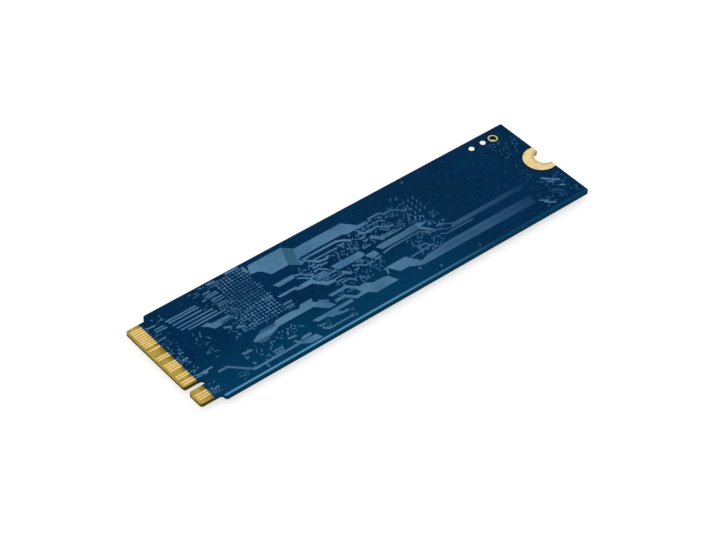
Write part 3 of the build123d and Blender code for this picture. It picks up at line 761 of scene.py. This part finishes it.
# Fine copper of the bare side: it stands a little lower than the tracks of the frame, so they hide it where
# they cross. A patch is its lowest and highest corner, how many dashes and dots it has, and the dashes' usual
# angle.
FINE_HEIGHT_SHARE = 0.7
FINE_TOP_Z = BACK_FACE_Z + FINE_HEIGHT_SHARE * (TRACK_TOP_Z - BACK_FACE_Z)
FINE_PATCHES = [
    ((2.6, 1.2), (5.2, 7.4), 24, 20),
    ((2.8, -9.6), (4.4, -7.2), 14, 60),
    ((3.0, -4.2), (4.6, 1.2), 16, 75),
    ((4.0, 8.2), (6.2, 9.8), 7, 60),
    ((7.0, -3.4), (9.8, 2.9), 22, 75),
    ((7.9, -9.9), (10.1, -8.4), 12, 80),
    ((11.0, -8.8), (17.4, -4.9), 34, 70),
    ((12.4, -2.2), (16.9, 2.2), 32, 60),
    ((12.6, 5.9), (17.0, 10.7), 26, 10),
    ((14.2, -2.4), (18.4, 1.6), 16, 5),
    ((15.0, 2.2), (17.2, 5.2), 22, 45),
    ((15.8, -6.7), (18.4, -5.3), 12, 5),
    ((18.6, -6.7), (22.6, -4.9), 14, 50),
    ((24.3, -9.2), (26.9, -7.5), 9, 45),
    ((29.8, -9.7), (31.2, -7.9), 9, 40),
    ((29.6, 1.4), (33.8, 4.3), 30, 45),
    ((30.6, -0.9), (35.0, 1.2), 34, 0),
    ((32.5, -4.0), (36.6, -1.9), 20, 45),
    ((36.3, -4.6), (41.9, -0.1), 70, 50),
    ((35.8, 1.6), (43.2, 4.0), 56, 55),
    ((40.4, 4.2), (45.6, 5.6), 14, 45),
    ((43.0, 1.4), (49.6, 6.2), 70, 50),
    ((47.5, -5.7), (53.0, -1.5), 60, 50),
    ((49.0, 4.4), (53.2, 6.4), 22, 55),
    ((49.6, 1.0), (53.4, 4.9), 48, 52),
    ((53.2, -2.6), (56.4, 1.8), 34, 52),
    ((31.4, -5.0), (34.4, -4.3), 14, 10),
    ((28.6, 1.6), (31.0, 3.4), 8, -45),
    ((71.6, -9.8), (79.2, -4.2), 84, -40),
    ((72.0, -4.2), (75.6, 8.4), 44, 50),
    ((75.4, 3.4), (79.2, 7.8), 20, 60),
]
# Single fine tracks, by their points
FINE_TRACKS = [
    [(16.3, 9.55), (17.8, 9.55)],
    [(16.3, 10.05), (17.8, 10.05)],
    [(17.2, 1.85), (19.3, 1.85)],
    [(21.1, 2.0), (22.9, 1.95)],
    [(30.2, -4.0), (33.3, -4.0), (34.7, -5.3)],
    [(29.8, -5.5), (31.7, -5.5), (33.1, -6.85)],
    [(33.6, 1.2), (34.5, 0.1)],
    [(33.35, 1.05), (34.3, -0.1)],
    [(32.2, -0.6), (33.8, -0.6), (35.3, -0.95)],
    [(31.2, -0.2), (33.0, -0.1)],
    [(48.8, 2.2), (50.2, 2.0)],
    [(52.1, 1.2), (53.0, 2.1)],
    [(53.0, 0.2), (54.1, -0.25)],
    [(53.2, -0.6), (53.9, -0.9)],
]
FINE_WIDTH = 0.17
FINE_LENGTHS = (0.3, 0.75)
FINE_TURNS = (0, 0, 0, 90)
FINE_SWING = 8
FINE_DOT_SHARE = 0.2
FINE_DOT_RADII = (0.11, 0.2)
STUB_LENGTHS = (0.2, 0.35, 0.6, 1.3)
STUB_SWAY = 0.2


def fine_copper():
    """Short dashes and dots between the larger tracks, single fine tracks, and stubs behind the contacts."""
    chance = random.Random(7)
    form = bmesh.new()
    for low, high, count, angle in FINE_PATCHES:
        for _ in range(count):
            spot = (chance.uniform(low[0], high[0]), chance.uniform(low[1], high[1]))
            if chance.random() < FINE_DOT_SHARE:
                add_dot(form, spot, chance.uniform(*FINE_DOT_RADII), BACK_FACE_Z, FINE_TOP_Z)
                continue
            turn = math.radians(angle + chance.choice(FINE_TURNS) + chance.uniform(-FINE_SWING, FINE_SWING))
            add_dash(form, spot, chance.uniform(*FINE_LENGTHS), FINE_WIDTH, turn, BACK_FACE_Z, FINE_TOP_Z)
    for path in FINE_TRACKS:
        add_track(form, path, FINE_WIDTH, BACK_FACE_Z, FINE_TOP_Z)
    start = (MASK_START_X - TIP_X) / MM
    for _, _, middle in islands("back_contacts"):
        end = start + chance.choice(STUB_LENGTHS)
        across = middle.y / MM
        path = [(start, across), (end, across + chance.uniform(-STUB_SWAY, STUB_SWAY))]
        add_track(form, path, FINE_WIDTH, BACK_FACE_Z, FINE_TOP_Z)
    add_piece("fine_copper", form, "coated_copper", material=FINE_COPPER)


# Caps of the vias: their size, how much their length varies, and the share that lies along the board before
# and after a distance from the contact edge. A share of them is linked to the next. A fringe of columns
# beside the field, up to a height across the board, has only a share of its vias.
VIA_LENGTH = 0.46
VIA_WIDTH = 0.3
VIA_SPREAD = (0.8, 1.25)
LENGTHWISE_START = 19.6
LENGTHWISE_NEAR = 0.3
LENGTHWISE_FAR = 0.85
LINK_WIDTH = 0.12
LINK_SHARE = 0.26
FRINGE_COLUMNS = 4
FRINGE_TOP = 5.0
FRINGE_SHARE = 0.7
GRID_DIGITS = 3


def via_caps():
    """Coated vias opposite the controller, with short links between some, and a ragged fringe beside them."""
    chance = random.Random(11)
    form = bmesh.new()
    spots = [spot_of(middle) for _, _, middle in islands("back_vias")]
    columns = sorted({round(spot[0], GRID_DIGITS) for spot in spots})
    rows = sorted({round(spot[1], GRID_DIGITS) for spot in spots})
    step_x = columns[1] - columns[0]
    step_y = rows[1] - rows[0]
    for column in range(1, FRINGE_COLUMNS + 1):
        for row in rows:
            if row < FRINGE_TOP and chance.random() < FRINGE_SHARE:
                spots.append((columns[0] - column * step_x, row))
    for x, y in spots:
        lengthwise = LENGTHWISE_FAR if x > LENGTHWISE_START else LENGTHWISE_NEAR
        turn = 0 if chance.random() < lengthwise else math.pi / 2
        length = VIA_LENGTH * chance.uniform(*VIA_SPREAD)
        add_dash(form, (x, y), length, VIA_WIDTH, turn, BACK_FACE_Z, FINE_TOP_Z)
        if chance.random() < LINK_SHARE:
            add_track(form, [(x, y), (x + step_x, y)], LINK_WIDTH, BACK_FACE_Z, FINE_TOP_Z)
        if chance.random() < LINK_SHARE:
            add_track(form, [(x, y), (x, y - step_y)], LINK_WIDTH, BACK_FACE_Z, FINE_TOP_Z)
    add_piece("via_caps", form, "coated_copper", "back_vias", VIA_COPPER)


fine_copper()
via_caps()


# Pieces of the chip side. The board is above them, so their feet are at the top.


def add_block(form, low, high, radius):
    """A box with rounded edges."""
    made = bmesh.ops.create_cube(form, size=1.0)
    span = high - low
    for vertex in made["verts"]:
        vertex.co = (low + high) / 2 + Vector([span[i] * vertex.co[i] for i in range(3)])
    edges = list({edge for vertex in made["verts"] for edge in vertex.link_edges})
    bmesh.ops.bevel(form, geom=edges, offset=radius * MM, segments=2, profile=0.5, affect="EDGES")


# Edge radius of each kind of small chip: its body and its terminals
EDGE_RADII = {
    "inductor": (0.12, 0.06),
    "large_capacitor": (0.08, 0.09),
    "small_capacitor": (0.04, 0.05),
    "resistor": (0.03, 0.04),
}
# Solder fillets: the share of the terminal or lead that they climb, how far they reach along the board, and
# how much they spread
FILLET_SHARE = 0.6
FILLET_REACH = 0.22
FILLET_SPREAD = 0.04
LEAD_FILLET_SHARE = 0.8
LEAD_FILLET_REACH = 0.16


def chips():
    """Bodies and terminals of the small chips, with rounded edges."""
    for kind, radii in EDGE_RADII.items():
        for part, radius in zip(("bodies", "terminals"), radii):
            node_name = f"{kind}_{part}"
            form = bmesh.new()
            for low, high, _ in islands(node_name):
                add_block(form, low, high, radius)
            add_piece(f"rounded_{node_name}", form, SLOTS[node_name], node_name)


def add_fillet(form, foot, outward, width, height, reach):
    """Solder drawn up an end face. The foot is the middle of the face's edge on the board."""
    steps = 4
    across = Vector((-outward.y, outward.x, 0))
    spread = FILLET_SPREAD * MM
    left = []
    right = []
    for step in range(steps + 1):
        turn = math.pi / 2 * step / steps
        drop = height * (1 - math.sin(turn))
        half = width / 2 + spread * (1 - drop / height)
        spot = foot + outward * reach * (1 - math.cos(turn)) - Vector((0, 0, drop))
        left.append(form.verts.new(spot - across * half))
        right.append(form.verts.new(spot + across * half))
    foot_left = form.verts.new(foot - across * (width / 2 + spread))
    foot_right = form.verts.new(foot + across * (width / 2 + spread))
    for index in range(steps):
        form.faces.new((left[index], left[index + 1], right[index + 1], right[index]))
    form.faces.new([*left, foot_left])
    form.faces.new([foot_right, *right[::-1]])
    form.faces.new((foot_left, left[-1], right[-1], foot_right))
    form.faces.new((left[0], foot_left, foot_right, right[0]))


def solder_fillets():
    """Solder at the ends of the small chips, and at the leads of the power chip and the load switch."""
    form = bmesh.new()
    for kind in EDGE_RADII:
        bodies = islands(f"{kind}_bodies")
        for low, high, middle in islands(f"{kind}_terminals"):
            nearest = min(bodies, key=lambda body: (body[2] - middle).length)
            side = 1 if middle.x > nearest[2].x else -1
            foot = Vector((high.x if side > 0 else low.x, middle.y, CHIP_FACE_Z))
            height = FILLET_SHARE * (high.z - low.z)
            add_fillet(form, foot, Vector((side, 0, 0)), high.y - low.y, height, FILLET_REACH * MM)
    for chip in ("power_chip", "load_switch"):
        case_low, case_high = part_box(f"{chip}_case")
        centre = (case_low + case_high) / 2
        for low, high, middle in islands(f"{chip}_leads"):
            away = middle - centre
            if abs(away.x) > abs(away.y):
                outward = Vector((math.copysign(1, away.x), 0, 0))
                width = high.y - low.y
                foot = Vector((high.x if away.x > 0 else low.x, middle.y, CHIP_FACE_Z))
            else:
                outward = Vector((0, math.copysign(1, away.y), 0))
                width = high.x - low.x
                foot = Vector((middle.x, high.y if away.y > 0 else low.y, CHIP_FACE_Z))
            height = LEAD_FILLET_SHARE * (high.z - low.z)
            add_fillet(form, foot, outward, width, height, LEAD_FILLET_REACH * MM)
    add_piece("solder_fillets", form, "solder")


# Solder balls: the radius of the waist, and the share of it at the flat ends
BALL_WAIST = 0.2
BALL_END_SHARE = 0.78


def solder_balls():
    """Round solder balls, flattened where they meet the package and the board."""
    sides = 14
    rings = 6
    for package in ("controller", "flash_1", "flash_2"):
        form = bmesh.new()
        for low, high, middle in islands(f"{package}_balls"):
            loops = []
            for ring in range(rings + 1):
                level = 2 * ring / rings - 1
                radius = BALL_WAIST * MM * math.sqrt(1 - (1 - BALL_END_SHARE ** 2) * level ** 2)
                height = low.z + (high.z - low.z) * ring / rings
                points = [middle.xy + direction * radius for direction in circle(sides)]
                loops.append([form.verts.new((point.x, point.y, height)) for point in points])
            for lower, upper in zip(loops, loops[1:]):
                add_ring_of_faces(form, lower, upper)
            form.faces.new(loops[0][::-1])
            form.faces.new(loops[-1])
        add_piece(f"{package}_solder_balls", form, "solder", f"{package}_balls")


# Coated tracks of the chip side. A lane runs from a contact, bends before its small capacitor and ends under
# the controller's case. The lane squeeze draws the lanes together towards the contacts.
CHIP_TRACK_HEIGHT = 0.02
CHIP_TRACK_Z = CHIP_FACE_Z - CHIP_TRACK_HEIGHT * MM
CHIP_VIA_RADIUS = 0.2
LANE_WIDTH = 0.18
LANE_SQUEEZE = 0.81
LANE_BEND = 2.4
LANE_UNDER_CASE = 0.6
# Vias beside the ends of a small capacitor, and four at a large one
SMALL_VIA_X = 0.45
SMALL_VIA_Y = 0.65
LARGE_VIA_X = 1.6
LARGE_VIA_Y = 0.3
# A supply runs from an inductor to under the first memory, within a limit from the centre line. On the other
# side a short stub turns to the centre line.
SUPPLY_WIDTH = 0.9
SUPPLY_RUN = 0.8
SUPPLY_UNDER_CASE = 1.5
SUPPLY_LIMIT = 6.0
STUB_RUN = 1.1
STUB_TURN = 0.9
STUB_WIDTH = 0.36


def add_lanes(form):
    """Vias at the small capacitors, and lanes from the contacts through those before the controller."""
    contacts = [spot_of(middle)[1] for _, _, middle in islands("front_contacts")]
    controller_start = spot_of(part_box("controller_case")[0])[0]
    lane_start = (MASK_START_X - TIP_X) / MM
    for _, _, middle in islands("small_capacitor_bodies"):
        x, y = spot_of(middle)
        for side in (-1, 1):
            end = (x + side * SMALL_VIA_X, y)
            via = (end[0], y + math.copysign(SMALL_VIA_Y, y))
            add_track(form, [end, via], LANE_WIDTH, CHIP_FACE_Z, CHIP_TRACK_Z)
            add_dot(form, via, CHIP_VIA_RADIUS, CHIP_FACE_Z, CHIP_TRACK_Z)
        if x > controller_start:
            continue
        contact = min(contacts, key=lambda across: abs(across - y * LANE_SQUEEZE))
        bend_x = x - LANE_BEND
        lane_in = [(lane_start, contact), (bend_x - abs(contact - y), contact), (bend_x, y), (x, y)]
        lane_out = [(x, y), (controller_start + LANE_UNDER_CASE, y)]
        for lane in (lane_in, lane_out):
            add_track(form, lane, LANE_WIDTH, CHIP_FACE_Z, CHIP_TRACK_Z)


def add_supplies(form):
    """Broad tracks on both sides of the inductors."""
    flash_start = spot_of(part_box("flash_1_case")[0])[0]
    for low, high, middle in islands("inductor_bodies"):
        y = spot_of(middle)[1]
        start_x = spot_of(low)[0]
        end_x = spot_of(high)[0]
        across = max(-SUPPLY_LIMIT, min(SUPPLY_LIMIT, y))
        supply = [(end_x, y), (end_x + SUPPLY_RUN, y), (flash_start + SUPPLY_UNDER_CASE, across)]
        stub = [(start_x, y), (start_x - STUB_RUN, y)]
        turn = [(start_x - STUB_TURN, y), (start_x - STUB_TURN, 0.0)]
        for path, width in ((supply, SUPPLY_WIDTH), (stub, SUPPLY_WIDTH), (turn, STUB_WIDTH)):
            add_track(form, path, width, CHIP_FACE_Z, CHIP_TRACK_Z)


def add_large_vias(form):
    """Four vias at each large capacitor."""
    for _, _, middle in islands("large_capacitor_bodies"):
        x, y = spot_of(middle)
        for side in (-LARGE_VIA_X, LARGE_VIA_X):
            for row in (-LARGE_VIA_Y, LARGE_VIA_Y):
                add_dot(form, (x + side, y + row), CHIP_VIA_RADIUS, CHIP_FACE_Z, CHIP_TRACK_Z)


def chip_side_copper():
    """Coated tracks and vias of the chip side."""
    form = bmesh.new()
    add_lanes(form)
    add_supplies(form)
    add_large_vias(form)
    add_piece("chip_side_copper", form, "coated_copper", material=FINE_COPPER)


# Lid of the crystal: its corners, the thickness of the flange, and how far the step, the shoulder and the top
# are drawn in
LID_CORNER = 0.3
LID_FLANGE = 0.06
LID_STEP = 0.16
LID_SHOULDER = 0.2
LID_TOP = 0.28


def rounded_outline(low, high, corner, inset):
    """Points of a rectangle with round corners, drawn in by an inset. All in metres."""
    steps = 5
    centres = [
        Vector((high.x - corner, high.y - corner)),
        Vector((low.x + corner, high.y - corner)),
        Vector((low.x + corner, low.y + corner)),
        Vector((high.x - corner, low.y + corner)),
    ]
    points = []
    for quarter, centre in enumerate(centres):
        for step in range(steps + 1):
            turn = math.pi / 2 * (quarter + step / steps)
            points.append(centre + Vector((math.cos(turn), math.sin(turn))) * (corner - inset))
    return points


def crystal_cover():
    """Metal lid of the crystal: a thin welded flange and a lower, drawn-in top."""
    low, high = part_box("crystal_lid")
    flange = LID_FLANGE * MM
    levels = [
        (0.0, high.z),
        (0.0, high.z - flange),
        (LID_STEP, high.z - flange),
        (LID_SHOULDER, low.z + flange),
        (LID_TOP, low.z),
    ]
    form = bmesh.new()
    loops = []
    for inset, height in levels:
        outline = rounded_outline(low, high, LID_CORNER * MM, inset * MM)
        loops.append([form.verts.new((point.x, point.y, height)) for point in outline])
    for lower, upper in zip(loops, loops[1:]):
        add_ring_of_faces(form, lower, upper)
    form.faces.new(loops[0])
    form.faces.new(loops[-1][::-1])
    add_piece("crystal_cover", form, "lid_metal", "crystal_lid")


chips()
solder_fillets()
solder_balls()
chip_side_copper()
crystal_cover()


# Stage, light and camera. The floor lies just below the drive. A lamp is its place and size in metres, and
# its power.
FLOOR_DEPTH = 0.02
FLOOR_TONES = ((0.52, 0.52, 0.52, 1), (0.54, 0.54, 0.54, 1))
FLOOR_GLOW = 0.62
AMBIENT = 0.6
KEY_LAMP = ((-0.25, -0.15, 0.4), 0.5, 1.0)
FILL_LAMP = ((0.2, 0.3, 0.4), 0.5, 0.4)


def seen_directly(tree):
    """1 for what the camera sees, also by a reflection or through glass, and 0 for light on other things."""
    rays = node(tree, "ShaderNodeLightPath")
    seen = rays.outputs["Is Camera Ray"]
    for kind in ("Is Glossy Ray", "Is Transmission Ray"):
        either = node(tree, "ShaderNodeMath", operation="MAXIMUM")
        tree.links.new(seen, either.inputs[0])
        tree.links.new(rays.outputs[kind], either.inputs[1])
        seen = either.outputs[0]
    return seen


def add_floor():
    """A plain pale floor. To the camera it is a little brighter, so that it is white outside the shadow."""
    size = 3.0
    mesh = bpy.data.meshes.new("floor")
    corners = [(-size, -size, 0), (size, -size, 0), (size, size, 0), (-size, size, 0)]
    mesh.from_pydata(corners, [], [(0, 1, 2, 3)])
    floor = bpy.data.objects.new("floor", mesh)
    floor.location.z = -FLOOR_DEPTH * MM
    bpy.context.scene.collection.objects.link(floor)
    material, tree, shader = surface("floor", 0.9, specular=0.0)
    paint(tree, shader, blend(tree, noise(tree, 400.0), *FLOOR_TONES))
    shader.inputs["Emission Color"].default_value = (1, 1, 1, 1)
    glow = remap(tree, seen_directly(tree), 0.0, 1.0, 0.0, FLOOR_GLOW)
    tree.links.new(glow, shader.inputs["Emission Strength"])
    floor.data.materials.append(material)


def add_world():
    """White to the camera and in reflections, and a plain soft light on everything else."""
    world = bpy.data.worlds.new("studio")
    world.use_nodes = True
    tree = world.node_tree
    background = tree.nodes["Background"]
    background.inputs["Color"].default_value = (1, 1, 1, 1)
    strength = remap(tree, seen_directly(tree), 0.0, 1.0, AMBIENT, 1.0)
    tree.links.new(strength, background.inputs["Strength"])
    bpy.context.scene.world = world


def add_lamp(name, spot, size, power):
    """A square soft lamp that looks at the middle of the board."""
    light = bpy.data.lights.new(name, "AREA")
    light.size = size
    light.energy = power
    lamp = bpy.data.objects.new(name, light)
    lamp.location = spot
    lamp.rotation_mode = "QUATERNION"
    lamp.rotation_quaternion = (-Vector(spot)).to_track_quat("-Z", "Y")
    bpy.context.scene.collection.objects.link(lamp)


def add_camera():
    """A camera at the photograph's angle, with its slight roll."""
    back = Vector((
        math.sin(VIEW_AZIMUTH) * math.cos(VIEW_ELEVATION),
        -math.cos(VIEW_AZIMUTH) * math.cos(VIEW_ELEVATION),
        math.sin(VIEW_ELEVATION),
    ))
    level = Vector((math.cos(VIEW_AZIMUTH), math.sin(VIEW_AZIMUTH), 0))
    upright = back.cross(level)
    right = level * math.cos(VIEW_ROLL) + upright * math.sin(VIEW_ROLL)
    up = upright * math.cos(VIEW_ROLL) - level * math.sin(VIEW_ROLL)
    data = bpy.data.cameras.new("camera")
    data.lens = LENS
    data.sensor_width = SENSOR_WIDTH
    data.sensor_fit = "HORIZONTAL"
    data.clip_start = 0.01
    data.clip_end = 20
    camera = bpy.data.objects.new("camera", data)
    turn = Matrix((right, up, back)).transposed().to_4x4()
    camera.matrix_world = Matrix.Translation(VIEW_TARGET + back * VIEW_DISTANCE) @ turn
    bpy.context.scene.collection.objects.link(camera)
    bpy.context.scene.camera = camera


add_floor()
add_world()
add_lamp("key_lamp", *KEY_LAMP)
add_lamp("fill_lamp", *FILL_LAMP)
add_camera()
bpy.context.scene.view_settings.view_transform = "Standard"
